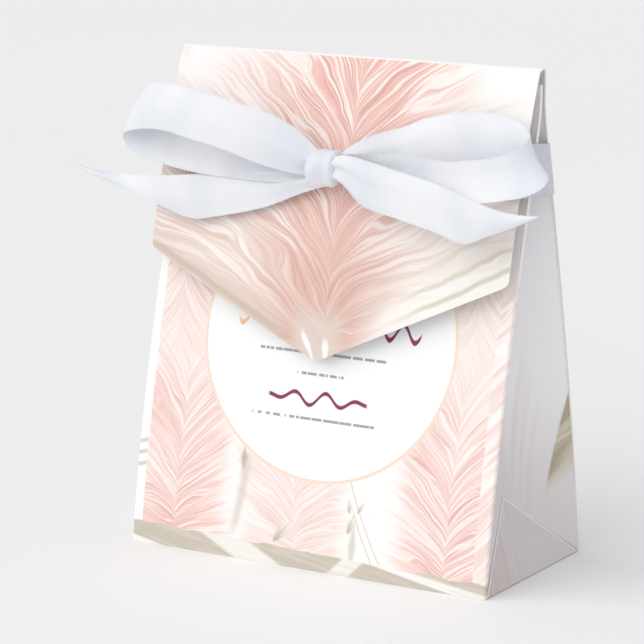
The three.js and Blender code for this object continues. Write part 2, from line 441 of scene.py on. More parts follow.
# Olive marks along the right-hand edge: distance from it and strength.
RIM_MARKS = ((2.6, 0.7), (7.4, 0.55), (13.0, 0.3))
# White slivers in the point: foot, lean and top.
TIP_SLIVERS = ((-0.9, 0.5, 9.0), (3.0, 0.04, 7.0))


def flap_rim(shop, x, y, side):
    """Brush marks along the slanted edges, and two white slivers in the flap's point."""
    rim = (y - side * FLAP_POINT_SLOPE) * FLAP_POINT_COS
    wave = (noise(x * 0.09, y * 0.04, 31.0, 1.0) - 0.5) * 5.0
    left = step(x, -6.0, -18.0)
    shop.lay(left * step(rim + wave, 11.0, 1.0) * 0.6, RIM_WASH)
    dark_line = step(abs(rim - 1.2 + wave * 0.3), 1.6, 0.4)
    shop.lay(left * dark_line * 0.55, RIM_LINE)
    right = step(x, 10.0, 24.0)
    shop.lay(right * step(rim + wave, 12.0, 4.0) * 0.8, RIM_PALE)
    for level, strength in RIM_MARKS:
        mark = step(abs(rim - level - wave * 0.7 - (x - 40.0) * 0.05), 1.1, 0.2)
        shop.lay(right * mark * strength * step(x, 18.0, 36.0), RIM_OLIVE)
    tip = step(y, 18.0, 8.0) * step(side, 10.0, 5.0)
    shop.lay(tip * 0.7, TIP_GREY)
    for foot, lean, top in TIP_SLIVERS:
        taper = abs(x - foot + y * lean) + abs(y - top * 0.5) * 0.18
        sliver = step(taper, 1.5, 0.6) * step(y, top, top - 3.0)
        shop.lay(sliver, WHITE)


PLUME_DROOP = 15.0


def add_plume(shop, x, y, root, bend, reach, end, strength, seed, stretch=30.0):
    """Lays one plume over the print, fading out at its reach to each side and before its end.

    A plume whose end is under its root hangs upside down.
    """
    grows = 1.0 if end > root[1] else -1.0
    start, across, side = fan(
        x, y * grows, (root[0], root[1] * grows), bend * grows,
        least=1.5, stretch=stretch, width=20.0, droop=PLUME_DROOP,
    )
    line = spread_line(start, across, PLUME_DROOP)
    vein, tint, shade = barbs(line, side * 1.2, seed)
    ragged = noise(line * 0.5, side * 0.03, seed + 2) * 12.0
    spread = step(side + ragged, reach + 9.0, reach + 1.0)
    near_end = step((y - end) * grows, 0.0, -30.0) * step(start, -5.0, -1.0)
    heart = step(side, 13.0, 0.5) * step((y - root[1]) * grows, 44.0, 3.0)
    ink = shop.mix((tint * 0.6 + heart * 0.6).apply("MINIMUM", 1.0), PLUME_PALE, PLUME_DEEP)
    ink = shop.mix(shade * 0.4, ink, PLUME_SHADE)
    ink = shop.mix(vein * 0.75, ink, PLUME_VEIN)
    shop.lay(spread * near_end * strength, ink)


LEAF_SLENDER = 0.42  # a leaf's half width over its half length


def leaf(shop, x, y, place, length, turn):
    """A small olive leaf with a pale midrib."""
    cos, sin = math.cos(math.radians(turn)), math.sin(math.radians(turn))
    along = ((x - place[0]) * cos + (y - place[1]) * sin) / length
    across = ((y - place[1]) * cos - (x - place[0]) * sin) / (length * LEAF_SLENDER)
    inside = step(along * along + abs(across) + across * across * 0.3, 1.0, 0.8)
    shop.lay(inside * 0.9, shop.mix(step(along, -1.0, 1.0), OLIVE, PALE))
    shop.lay(inside * step(abs(across), 0.12, 0.02) * 0.6, LEAF_RIB)


def bottom_band(shop, x, y):
    """An uneven band of olive and white brush marks along the base crease."""
    slant = y * 0.28 + x * 0.045
    mark = noise(slant, y * 0.05, 41.0, 1.0)
    bare = step(abs(x + 15.0 + y * 2.0), 9.0, 6.0) + step(abs(x - 11.0 - y), 4.0, 2.6)
    streak = noise(slant * 2.4, y * 0.12 - x * 0.02, 47.0, 2.0)
    edge = 4.9 - x * 0.02 + (noise(x * 0.14, 0.0, 44.0) - 0.5) * 2.2
    inside = step(y - edge, 0.35, -0.1)
    shop.lay(inside, BAND_PALE)
    olive = inside * step(mark, 0.6, 0.5) * (1.0 - bare * 0.85)
    shop.lay(olive * 0.95, BAND_OLIVE)
    shop.lay(inside * step(streak, 0.5, 0.6) * 0.45, BAND_STREAK)


LEFT_MARGIN = -HALF_WIDTH + 2.9
RIGHT_MARGIN = HALF_WIDTH - 4.0
MARGIN_STROKES = (28.6, 25.4, 22.0)  # heights


def side_strips(shop, x, y):
    """The narrow margins next to the side creases: white on the left, pink on the right."""
    shop.lay(step(x, LEFT_MARGIN + 0.5, LEFT_MARGIN), WHITE)
    for level in MARGIN_STROKES:
        stroke = step(abs(y - level - (x + HALF_WIDTH) * 0.3), 0.9, 0.3)
        stroke = stroke * step(x, LEFT_MARGIN + 0.3, LEFT_MARGIN)
        shop.lay(stroke * 0.7, STROKE_OLIVE)
    slanted = y - x * 1.1
    stroke = step(noise(slanted * 0.3, x * 0.05, 53.0, 1.0), 0.4, 0.6)
    margin = shop.mix(stroke, MARGIN_PALE, MARGIN_PINK)
    margin = shop.mix(crease(slanted * 0.22, x * 0.05, 55.0, 0.05) * 0.8, margin, WHITE)
    # Painted light: the pink margin whitens towards its top, lifting the shade that the flap casts on it.
    margin = shop.mix(step(y, 76.0, 92.0) * 0.85, margin, WHITE)
    shop.lay(step(x, RIGHT_MARGIN - 0.3, RIGHT_MARGIN), margin)


DISC_X, DISC_Y, DISC_RADIUS = 1.4, 64.5, 39.7
# Dashed rules: height, half length and middle.
RULES = ((60.0, 20.0, 0.0), (54.2, 7.4, 0.0), (41.8, 19.5, -1.0))


def front_disc(shop, x, y):
    """A plain white disc with a fine peach ring, and plain ruled marks where a message would go."""
    away = ((x - DISC_X) ** 2.0 + (y - DISC_Y) ** 2.0).apply("SQRT")
    shop.lay(step(away, DISC_RADIUS + 0.1, DISC_RADIUS - 0.1), DISC_WHITE)
    ring = step(abs(away - DISC_RADIUS), 0.52, 0.34)
    shop.lay(ring, PEACH)
    for level, half, middle in RULES:
        rule = step(abs(y - level), 0.5, 0.26) * step(abs(x - middle), half + 0.2, half)
        dash = step(noise(x * 0.8, level, 3.0, 1.0), 0.4, 0.46)
        shop.lay(rule * dash * 0.75, GREY_INK)
    wave = 47.4 + (x * 0.62).apply("SINE") * 1.9 * (x * 0.095).apply("COSINE")
    flourish = step(abs(y - wave), 0.75, 0.4) * step(abs(x), 16.2, 15.2)
    shop.lay(flourish, PLUM_INK)
    wave = 68.4 + (x * 0.8 + 1.0).apply("SINE") * 2.3
    flourish = step(abs(y - wave), 1.0, 0.5) * step(abs(x - 1.0), 29.5, 28.5)
    headline = shop.mix(step(x, -20.0, 6.0), PEACH_INK, PLUM_INK)
    shop.lay(flourish, headline)


STEMS = ((25.0, 34.0, 0.016), (22.5, 22.0, 0.024))  # foot, top and bow of each


def fine_stems(shop, x, y):
    """Thin olive stems in the white gap between the plumes, and a shaded edge to the left-hand plume."""
    curve = -20.6 - (30.0 - y) * (30.0 - y) * 0.006
    shaded = step(abs(x - curve), 2.2, 0.2) * step(abs(y - 18.0), 14.0, 7.0)
    shop.lay(shaded * 0.5, PLUME_EDGE)
    spot = step(abs(x + 21.6) + abs(y - 28.5) * 0.35, 1.8, 0.4)
    shop.lay(spot * 0.6, SPOT_OLIVE)
    smear = step(abs(x - 14.9 - y * 0.03) + abs(y - 8.5) * 0.16, 1.9, 0.5)
    shop.lay(smear * 0.65, SMEAR_OLIVE)
    for foot, top, bow in STEMS:
        curve = foot - (y - 3.0) * 0.62 + (y - 3.0) ** 2.0 * bow * 0.3
        stem = step(abs(x - curve), 0.32, 0.1) * step(y, top, top - 6.0)
        shop.lay(stem * 0.55, STEM_OLIVE)


# Each plume: root, bend of its shaft, reach to each side, end, strength and seed, then its stretch.
FRONT_PLUMES = (
    ((-3.6, 1.5), -0.05, 17.0, 62.0, 0.62, 30.0),
    ((-18.0, 140.0), 0.02, 18.0, 84.0, 0.6, 62.0),
    ((24.0, 142.0), -0.02, 17.0, 82.0, 0.6, 66.0),
    ((-43.3, 2.5), 0.02, 17.0, 72.0, 1.0, 11.0),
    ((43.9, 1.5), 0.02, 16.0, 74.0, 1.0, 50.0),
    ((-46.5, 112.0), 0.02, 11.0, 44.0, 0.9, 18.0),
    ((47.0, 110.0), 0.02, 9.0, 50.0, 0.7, 24.0),
)
BACK_PLUMES = (
    ((-28.0, 60.0), 0.02, 16.0, 150.0, 0.6, 90.0),
    ((30.0, 58.0), 0.0, 16.0, 150.0, 0.6, 95.0),
    ((2.0, 2.0), 0.0, 18.0, 128.0, 0.9, 60.0, 40.0),
    ((-42.0, 2.0), 0.02, 15.0, 100.0, 0.9, 70.0),
    ((42.0, 2.0), -0.02, 15.0, 100.0, 0.9, 80.0),
)
# Each leaf: middle, half length and turn in degrees.
FRONT_LEAVES = (
    ((-7.5, 9.5), 4.2, 50.0),
    ((13.4, 19.4), 2.2, 95.0),
    ((17.0, 19.4), 2.0, 60.0),
    ((14.2, 14.4), 3.0, 75.0),
)


def plumed(name, plumes):
    """A material that starts as soft pink plumes on white, with its place on the sheet."""
    shop = Shop(name)
    x, y = shop.print_place()
    shop.colour = shop.mix(noise(x * 0.04, y * 0.04, 6.0) * 0.6, WHITE, PALE)
    for plume in plumes:
        add_plume(shop, x, y, *plume)
    return shop, x, y


def front_print():
    """Plumes round the disc, with fine stems and leaves between them."""
    shop, x, y = plumed("front_print", FRONT_PLUMES)
    fine_stems(shop, x, y)
    for middle, length, turn in FRONT_LEAVES:
        leaf(shop, x, y, middle, length, turn)
    front_disc(shop, x, y)
    side_strips(shop, x, y)
    bottom_band(shop, x, y)
    return card_finish(shop)


def back_print():
    """Plumes without the disc."""
    shop, x, y = plumed("back_print", BACK_PLUMES)
    shop.lay(step(abs(x), HALF_WIDTH - 4.0, HALF_WIDTH - 2.0), WHITE)
    bottom_band(shop, x, y)
    return card_finish(shop)


def side_streak(x, y):
    """Upright streaks that lean a little towards the back, the same on a side and on its facet."""
    return noise((x - y * 0.32) * 0.4, y * 0.01, 5.0, 1.0)


def side_print():
    """White with faint pink upright streaks down the middle of the side, painted shade that darkens it
    towards its foot, and one olive leaf.
    """
    shop = Shop("side_print")
    x, y = shop.print_place()
    streak = side_streak(x, y)
    near = step(abs(x - SIDE_HALF), 19.0, 3.0) * step(y, 92.0, 30.0)
    shop.colour = shop.mix(step(streak, 0.42, 0.6) * near * 0.55, SIDE_WHITE, SIDE_PINK)
    # Painted shade: the side darkens towards its foot.
    foot = step(y - abs(x - SIDE_HALF) * 0.5, 44.0, -4.0)
    shop.lay(foot * 0.8, SIDE_FOOT_SHADE)
    side_leaf(shop, x, y)
    return card_finish(shop)


def side_leaf(shop, x, y):
    """An olive leaf that reaches in from the back edge: broad, folded along its middle, fading below."""
    wave = (noise(x * 0.2, y * 0.1, 17.0) - 0.5) * 2.0
    left = step(x - 45.2 - (y - 20.0) * 0.36, -0.3, 0.5)
    under = step(y - 16.5 - (x - 45.0) * 1.02 + wave, -4.5, 3.0)
    inside = left * under
    fold = step(noise(y * 0.2 - x * 0.22, x * 0.03, 19.0, 1.0), 0.42, 0.6)
    olive = shop.mix(fold, SIDE_LEAF_DARK, SIDE_LEAF_LIGHT)
    rib = step(abs(y - 33.0 - (x - 52.0) * 0.9), 1.0, 0.2)
    olive = shop.mix(rib * 0.6, olive, SIDE_LEAF_RIB)
    shop.lay(inside * 0.92, olive)


def facet_print():
    """The lower triangle of the side: its white board painted grey as shade, faint pink streaks, and a
    painted highlight along its two score lines.
    """
    shop = Shop("facet_print")
    x, y = shop.print_place()
    streak = side_streak(x, y)
    near = step(x, 40.0, 12.0)
    # Painted shade: the white board is painted grey; the pink towards the front is print.
    board = shop.mix(step(x, 26.0, 2.0) * 0.5, FACET_SHADE_GREY, FACET_PINK)
    shop.colour = shop.mix(step(streak, 0.42, 0.6) * near * 0.4, board, FACET_STREAK)
    from_score = SIDE_HALF - abs(x - SIDE_HALF) - y * (SIDE_HALF / FACET_FLAT_HEIGHT)
    # Painted highlight along the two score lines, where the folds catch the light.
    shop.lay(step(from_score, 1.3, 0.4) * 0.8, SCORE_HIGHLIGHT)
    return card_finish(shop)


def plain_card(name, tone):
    """Unprinted white board, slightly toothy."""
    shop = Shop(name)
    x, y, z = shop.body_place()
    fibre = noise(x * 2.2, y * 2.2 + z * 2.2, 1.0, 5.0)
    cloud = noise(x * 0.08, y * 0.08 + z * 0.08, 2.0, 1.0)
    darker = [value - 12 for value in tone]
    shop.colour = shop.mix(fibre * 0.35 + cloud * 0.35, rgb(*tone), rgb(*darker))
    shop.bump(fibre, 0.08, 0.0003)
    return shop.finish(0.72 + fibre * 0.15, Specular_IOR_Level=0.25)


PICOT = 1.1  # length of one stitch of the selvedge
PICOT_DEPTH = 0.13


def satin(name, bright, shaded_tone):
    """White satin: lengthwise floats, a sheen painted into the colour as broad lighter and darker bands, and
    the stitched selvedge along both edges with painted shade at its stitches.
    """
    shop = Shop(name)
    x, y = shop.print_place()
    thread = noise(x * 0.9, y * 9.0, 2.0, 2.0)
    slub = noise(x * 0.06, y * 1.4, 7.0, 2.0)
    painted_sheen = step(noise(x * 0.05 + y * 0.012, y * 0.012, 27.0, 1.0), 0.38, 0.66)
    edge = step(abs(y), RIBBON_WIDTH / 2 - 0.9, RIBBON_WIDTH / 2 - 0.5)
    stitch = (x * (2 * math.pi / PICOT)).apply("SINE")
    height = thread * 0.2 + slub * 0.15 + edge * (0.3 + stitch * 0.4)
    shop.bump(height, 0.18, 0.0003)
    # Painted sheen and shade: broad bands move the colour between the bright tone and the darker shaded
    # tone, with a little real slub.
    shop.colour = shop.mix(slub * 0.15 + painted_sheen * 0.75, rgb(*bright), rgb(*shaded_tone))
    # Painted shade: grey ticks at the picot stitches along both edges.
    shop.lay(edge * step(stitch, -0.4, 0.8) * 0.3, PICOT_SHADE)
    roughness = 0.36 + thread * 0.14 + edge * 0.2
    made = shop.finish(
        roughness, Specular_IOR_Level=0.5, Sheen_Weight=0.2, Sheen_Roughness=0.4,
        Subsurface_Weight=0.12, Subsurface_Scale=0.001,
    )
    shop.shader.inputs["Subsurface Radius"].default_value = (1, 1, 1)
    return made


FLAP_PRINT = flap_print()
FRONT_PRINT = front_print()
BACK_PRINT = back_print()
SIDE_PRINT = side_print()
FACET_PRINT = facet_print()
INSIDE = plain_card("plain_card", (247, 245, 242))
CORE = plain_card("card_core", (244, 240, 236))
# The second tone is the painted shade of the satin's sheen bands.
SATIN = satin("satin", (241, 243, 245), (221, 225, 234))
# A darker copy of the satin for the band: painted shade for where it runs across the shaded sides.
SHADED_BELT_SATIN = satin("shaded_belt_satin", (215, 217, 229), (202, 205, 220))


# ---- meshes
SHARP_ANGLE = math.radians(50)


def skin(name, points, sheet, thickness, materials, ring=False):
    """A thin closed slab under a grid of outer points, with where each lies on the flat sheet.

    points is rows x columns x 3. materials are the outer face's, the inner face's and the edges'.
    A ring's last column is its first again.
    """
    points = np.asarray(points, float)
    rows, columns = points.shape[:2]
    if ring:
        padded = np.concatenate([points[:, -2:-1], points, points[:, 1:2]], axis=1)
        along = np.gradient(padded, axis=1)[:, 1:-1]
    else:
        along = np.gradient(points, axis=1)
    up = np.gradient(points, axis=0)
    normal = np.cross(along, up)
    normal /= np.maximum(np.linalg.norm(normal, axis=2, keepdims=True), 1e-9)
    inner = points - normal * thickness
    width = columns - 1 if ring else columns
    outer_points = points[:, :width].reshape(-1, 3)
    inner_points = inner[:, :width].reshape(-1, 3)
    vertices = np.concatenate([outer_points, inner_points]) * MM
    count = rows * width
    faces, slots, places = [], [], []

    def at(row, column, layer):
        return layer * count + row * width + (column % width)

    def add(corners, slot):
        faces.append([at(*corner) for corner in corners])
        slots.append(slot)
        places.extend(sheet[row][column] for row, column, _ in corners)

    for r in range(rows - 1):
        for c in range(columns - 1):
            add([(r, c, 0), (r, c + 1, 0), (r + 1, c + 1, 0), (r + 1, c, 0)], 0)
            add([(r + 1, c, 1), (r + 1, c + 1, 1), (r, c + 1, 1), (r, c, 1)], 1)
    last = rows - 1
    for c in range(columns - 1):
        add([(0, c, 1), (0, c + 1, 1), (0, c + 1, 0), (0, c, 0)], 2)
        add([(last, c, 0), (last, c + 1, 0), (last, c + 1, 1), (last, c, 1)], 2)
    if not ring:
        end = columns - 1
        for r in range(rows - 1):
            add([(r, 0, 0), (r + 1, 0, 0), (r + 1, 0, 1), (r, 0, 1)], 2)
            add([(r, end, 1), (r + 1, end, 1), (r + 1, end, 0), (r, end, 0)], 2)
    mesh = bpy.data.meshes.new(name)
    mesh.from_pydata(vertices.tolist(), [], faces)
    for material in materials:
        mesh.materials.append(material)
    mesh.polygons.foreach_set("material_index", slots)
    mesh.polygons.foreach_set("use_smooth", [True] * len(faces))
    layer = mesh.uv_layers.new(name="sheet")
    layer.data.foreach_set("uv", (np.array(places, float) / UV_SCALE).ravel())
    mesh.validate()
    mesh.set_sharp_from_angle(angle=SHARP_ANGLE)
    return add_object(name, mesh)


def place(piece, body, slot, *nodes):
    """Hangs a piece on its body and hides the CAD nodes that it stands for; slot, its finish, is not used.
    """
    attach(piece, body)
    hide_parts(*nodes)
    return piece


def sheet_grid(columns, rows):
    """Places on the flat sheet, where the grid is a plain rectangle on it."""
    return [[(across, up) for across in columns] for up in rows]


# ---- carton walls
LIP_RADIUS = 0.8
LIP_STEPS = 6
WALL_ROWS, WALL_COLUMNS = 56, 40
RIPPLE = 0.12  # how far the card waves, fading out over RIPPLE_FADE towards the creases
RIPPLE_FADE = 8


def wall_points(side, top):
    """A wall with both side creases turned round a small radius. side is -1 in front, +1 behind."""
    heights = np.linspace(0, top, WALL_ROWS)
    depth = wall_half_depth(heights)
    climb = arc_length(np.stack([depth, heights], axis=1))
    straight = -HALF_WIDTH + LIP_RADIUS
    flat = np.linspace(straight, -straight, WALL_COLUMNS)
    turns = np.linspace(0, math.pi / 2, LIP_STEPS + 1)[1:]
    left = [(straight - LIP_RADIUS * math.sin(a), LIP_RADIUS * (1 - math.cos(a))) for a in turns]
    profile = left[::-1] + [(x, 0.0) for x in flat] + [(-x, inset) for x, inset in left]
    unfolded = arc_length(np.array(profile))
    unfolded -= unfolded[-1] / 2
    across = np.array([x for x, _ in profile])
    ripple = RIPPLE * np.sin(heights / 23)[:, None] * np.cos(across / 31)[None, :]
    points = np.zeros((WALL_ROWS, len(profile), 3))
    for row in range(WALL_ROWS):
        for column, (x, inset) in enumerate(profile):
            bow = ripple[row, column] * min(1, (HALF_WIDTH - abs(x)) / RIPPLE_FADE)
            points[row, column] = (x, side * (depth[row] - inset + bow), heights[row])
    if side > 0:
        points = points[:, ::-1]
    return points, sheet_grid(unfolded, climb)


BACK_TOP = back_high.z - 0.6


def make_walls():
    """The front and back panels, with their creases."""
    points, sheet = wall_points(-1, WALL_TOP)
    front = skin("front_wall_card", points, sheet, CARD, [FRONT_PRINT, INSIDE, CORE])
    place(front, "front_wall", "printed_card", "front_panel")
    points, sheet = wall_points(1, BACK_TOP)
    back = skin("back_wall_card", points, sheet, CARD, [BACK_PRINT, INSIDE, CORE])
    place(back, "back_wall", "printed_card", "back_panel")


GUSSET_ROWS, GUSSET_COLUMNS = 44, 24
GUSSET_TUCK = np.array([-0.1, 0.25, 0])  # how its edge hides under the wall's lip
LAP_TUCK = np.array([-0.55, -0.1, 0])
LAP_SHARES = (0.15, 0.6, 1.0)
LAP_LEAST, LAP_MORE = 0.6, 4


def gusset_points(side, wall):
    """Half of a folded side, from the wall's crease to the centre crease, in rulings that twist a little.

    The front half carries a narrow lap of card on past the crease, behind the back half.
    """
    points, sheet = [], []
    for v in np.linspace(0, 1, GUSSET_ROWS):
        edge_z = v * CREASE_TOP + CREASE_FOOT
        crease_z = APEX.z + v * (CREASE_TOP - APEX.z)
        half = float(wall_half_depth(crease_z))
        inset = math.sqrt(SIDE_HALF**2 - (half - 0.1) ** 2)
        edge_y = float(wall_half_depth(edge_z)) - LIP_RADIUS * 0.7
        edge = np.array([HALF_WIDTH - 0.12, edge_y, edge_z])
        crease = np.array([HALF_WIDTH - inset, 0.06, crease_z])
        row = [edge + (crease - edge) * u for u in np.linspace(0, 1, GUSSET_COLUMNS)]
        row[0] = edge + GUSSET_TUCK
        if wall < 0:
            heading = (crease - edge) * np.array([-1, 1, 0])
            heading /= np.linalg.norm(heading)
            reach = min(1.0, (half - 1.2) / 6) * LAP_MORE + LAP_LEAST
            row += [crease + LAP_TUCK + heading * reach * share for share in LAP_SHARES]
        line = np.array(row)
        spread = arc_length(line)
        line[:, 0] *= side
        line[:, 1] *= wall
        points.append(line)
        sheet.append([(across if wall < 0 else 2 * SIDE_HALF - across, edge_z) for across in spread])
    points = np.array(points)
    if side * wall > 0:
        points = points[:, ::-1]
        sheet = [row[::-1] for row in sheet]
    return points, sheet


def make_gussets():
    """The four halves of the folded sides."""
    for side, hand in ((-1, "left"), (1, "right")):
        for wall, face in ((-1, "front"), (1, "back")):
            points, sheet = gusset_points(side, wall)
            name = f"gusset_{face}_{hand}"
            made = skin(f"{name}_card", points, sheet, CARD, [SIDE_PRINT, INSIDE, CORE])
            place(made, f"fold_{face}_{hand}", "side_card", name)


FACET_ROWS, FACET_COLUMNS = 26, 25
FACET_TIP = 0.995  # share of the height at which its point is blunted
FACET_CLEAR = 0.05


def make_facets():
    """The triangle above each base side crease."""
    for side, hand in ((-1, "left"), (1, "right")):
        points = np.zeros((FACET_ROWS, FACET_COLUMNS, 3))
        sheet = []
        for r, v in enumerate(np.linspace(0, FACET_TIP, FACET_ROWS)):
            half = (SIDE_HALF - FACET_CLEAR) * (1 - v)
            across = np.linspace(-half, half, FACET_COLUMNS)
            points[r, :, 0] = side * (HALF_WIDTH - FACET_CLEAR - v * (HALF_WIDTH - APEX.x))
            points[r, :, 1] = across
            points[r, :, 2] = CREASE_FOOT + v * (APEX.z - CREASE_FOOT)
            sheet.append([(c + SIDE_HALF, v * FACET_FLAT_HEIGHT) for c in across])
        if side < 0:
            points = points[:, ::-1]
            sheet = [row[::-1] for row in sheet]
        made = skin(f"facet_{hand}_card", points, sheet, CARD, [FACET_PRINT, INSIDE, CORE])
        place(made, f"facet_{hand}", "side_card", f"side_facet_{hand}")


RIDGE_TURN = math.radians(150)
RIDGE_RISE = LAYERS_HALF * 0.9
RIDGE_END = HALF_WIDTH - 0.3
RIDGE_SHEET = 152  # where the ridge starts up the flat sheet


def make_ridge():
    """The soft fold at the top, from the back wall over to the flap."""
    profile = [(LAYERS_HALF, back_high.z - 1.6)]
    for a in np.linspace(0, RIDGE_TURN, 15):
        profile.append((LAYERS_HALF * math.cos(a), HEIGHT - RIDGE_RISE * (1 - math.sin(a))))
    profile = np.array(profile)
    xs = np.linspace(RIDGE_END, -RIDGE_END, 30)
    points = np.array([[(x, y, z) for x in xs] for y, z in profile])
    sheet = sheet_grid(xs, RIDGE_SHEET + arc_length(profile))
    made = skin("ridge_card", points, sheet, CARD, [BACK_PRINT, INSIDE, CORE])
    place(made, "back_wall", "printed_card", "ridge_strip")


def flap_half_width(drop):
    """Half width of the flap, with each shoulder rounded."""
    slant = FLAP_TIP_HALF + (FLAP_TIP_DROP - drop) / FLAP_POINT_SLOPE
    gap = FLAP_HALF - slant
    if gap > FLAP_CORNER:
        return slant
    if gap < -FLAP_CORNER:
        return FLAP_HALF
    return FLAP_HALF - (gap + FLAP_CORNER) ** 2 / (4 * FLAP_CORNER)


FLAP_START, FLAP_BEND = 0.4, 3  # drops at which the flap leaves the ridge and has turned down
SHOULDER_REACH = 3  # rows are closer together this far above and below the shoulders
FLAP_COLUMNS = 61
FLAP_SWELL = 0.35


def make_flap():
    """The pointed flap: slightly curled, its point drawn in towards the front wall."""
    shoulder = FLAP_TIP_DROP - (FLAP_HALF - FLAP_TIP_HALF) * FLAP_POINT_SLOPE
    drops = np.concatenate([
        np.linspace(FLAP_START, FLAP_BEND, 7)[:-1],
        np.linspace(FLAP_BEND, shoulder - SHOULDER_REACH, 24)[:-1],
        np.linspace(shoulder - SHOULDER_REACH, shoulder + SHOULDER_REACH, 14)[:-1],
        np.linspace(shoulder + SHOULDER_REACH, FLAP_TIP_DROP, 30),
    ])
    out = flap_out(drops)
    climb = arc_length(np.stack([out, drops], axis=1))
    climb = climb[-1] - climb
    points = np.zeros((len(drops), FLAP_COLUMNS, 3))
    sheet = []
    for row, drop in enumerate(drops):
        half = flap_half_width(drop)
        xs = np.linspace(-half, half, FLAP_COLUMNS)
        swell = FLAP_SWELL * np.sin(xs / 19 + drop / 34) * min(1, drop / 30)
        points[row, :, 0] = xs
        points[row, :, 1] = -(out[row] + swell)
        points[row, :, 2] = HEIGHT - drop
        sheet.append([(x, climb[row]) for x in xs])
    points = points[::-1]
    sheet = sheet[::-1]
    made = skin("flap_card", points, sheet, CARD, [FLAP_PRINT, INSIDE, CORE])
    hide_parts("closure_flap")
    end = (0, -flap_out(FLAP_HINGE_DROP) * MM, (HEIGHT - FLAP_HINGE_DROP) * MM)
    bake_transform(made)


make_walls()
make_gussets()
make_facets()
make_ridge()
make_flap()
for node in ("base_panel", "base_tuck_flap", "base_dust_flap_left", "base_dust_flap_right"):
    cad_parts[node].data.materials.clear()
    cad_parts[node].data.materials.append(INSIDE)


# ---- satin ribbon
SPLINE_STEPS = 40
MEASURE_STEPS = 400
STRIP_ROWS = 25
GATHER_REACH = 15.0  # how far the folds of a gathered end run out


def spline(stops, count):
    """count points on a smooth curve through the stops, evenly spread along it."""
    stops = np.asarray(stops, float)
    ends = [2 * stops[0] - stops[1], *stops, 2 * stops[-1] - stops[-2]]
    fine = []
    for p0, p1, p2, p3 in zip(ends, ends[1:], ends[2:], ends[3:]):
        square = 2 * p0 - 5 * p1 + 4 * p2 - p3
        cube = 3 * p1 - p0 - 3 * p2 + p3
        for t in np.linspace(0, 1, SPLINE_STEPS, endpoint=False):
            fine.append(0.5 * (2 * p1 + (p2 - p0) * t + square * t**2 + cube * t**3))
    fine.append(stops[-1])
    fine = np.array(fine)
    length = arc_length(fine[:, :3])
    wanted = np.linspace(0, length[-1], count)
    return np.stack([np.interp(wanted, length, fine[:, k]) for k in range(fine.shape[1])], axis=1)


def ribbon_piece(name, stops, camber, pleat_ends, cut=None):
    """A strip of ribbon between an upper and a lower edge, through its stops.

    camber bows the strip across its width. pleat_ends says how deeply it is gathered at its start and end.
    cut is the share of its length after which the lower edge is a scissor cut and has no picot.
    """
    rough = spline(stops, MEASURE_STEPS)
    middle = (rough[:, :3] + rough[:, 3:]) / 2
    length = arc_length(middle)[-1]
    columns = int(length / (PICOT / 4))  # four to each stitch
    line = spline(stops, columns)
    upper, lower = line[:, :3], line[:, 3:]
    along = np.gradient((upper + lower) / 2, axis=0)
    rise = upper - lower
    normal = np.cross(along, rise)
    normal /= np.linalg.norm(normal, axis=1, keepdims=True)
    travel = np.linspace(0, length, columns)
    share = travel / length
    scallop = PICOT_DEPTH * np.cos(travel * 2 * math.pi / PICOT)
    rise_unit = rise / np.linalg.norm(rise, axis=1, keepdims=True)
    top = upper + rise_unit * scallop[:, None]
    lower_scallop = scallop if cut is None else np.where(share > cut, 0, scallop)
    bottom = lower - rise_unit * lower_scallop[:, None]
    gather = pleat_ends[0] * np.exp(-travel / GATHER_REACH)
    gather += pleat_ends[1] * np.exp(-(length - travel) / GATHER_REACH)
    rows = []
    for v in np.linspace(0, 1, STRIP_ROWS):
        bow = camber * math.sin(math.pi * v)
        turn = v * 2 * math.pi
        pleat = gather * (math.sin(turn * 1.6 + 0.6) + 0.2 * math.sin(turn * 3.5))
        pleat = pleat * math.sin(math.pi * min(max(v, 0.03), 0.97)) ** 0.5
        rows.append(bottom + (top - bottom) * v + normal * (bow + pleat)[:, None])
    points = np.array(rows)
    levels = np.linspace(-RIBBON_WIDTH / 2, RIBBON_WIDTH / 2, STRIP_ROWS)
    made = skin(name, points, sheet_grid(travel, levels), RIBBON, [SATIN] * 3)
    return made, length


# Each stop is a point on the strip's upper edge, then one on its lower edge.
LEFT_LOOP = [
    (-3, -17, 115.6, -3, -17.6, 108.4),
    (-6.5, -17.5, 118.8, -6.5, -18.4, 108.6),
    (-11.1, -18.5, 122.2, -11.5, -19.8, 109.2),
    (-18.6, -19.5, 125.2, -19, -21.6, 111),
    (-29.2, -21.5, 127.9, -30, -23.8, 114.6),
    (-38.4, -22, 130, -39.8, -24.5, 116.7),
    (-48, -21, 131.1, -49.6, -23.5, 118.3),
    (-56, -18.8, 130.3, -59, -21, 117.6),
    (-60.4, -15, 128.2, -67, -17.2, 115.2),
    (-60.6, -12.6, 123.5, -66.4, -15.6, 111.2),
    (-56, -12.2, 120.8, -60, -17, 109),
    (-48, -12.3, 119.8, -51.2, -17.8, 107.4),
    (-40, -12.5, 119.2, -41.4, -18, 106.2),
    (-28, -12.9, 118.2, -29.5, -18, 105.7),
    (-17, -13.8, 117.3, -16.3, -18, 105.6),
    (-6.5, -15.2, 114.8, -6.2, -17.4, 107.3),
    (-3, -15.8, 113.6, -3, -17, 108.2),
]
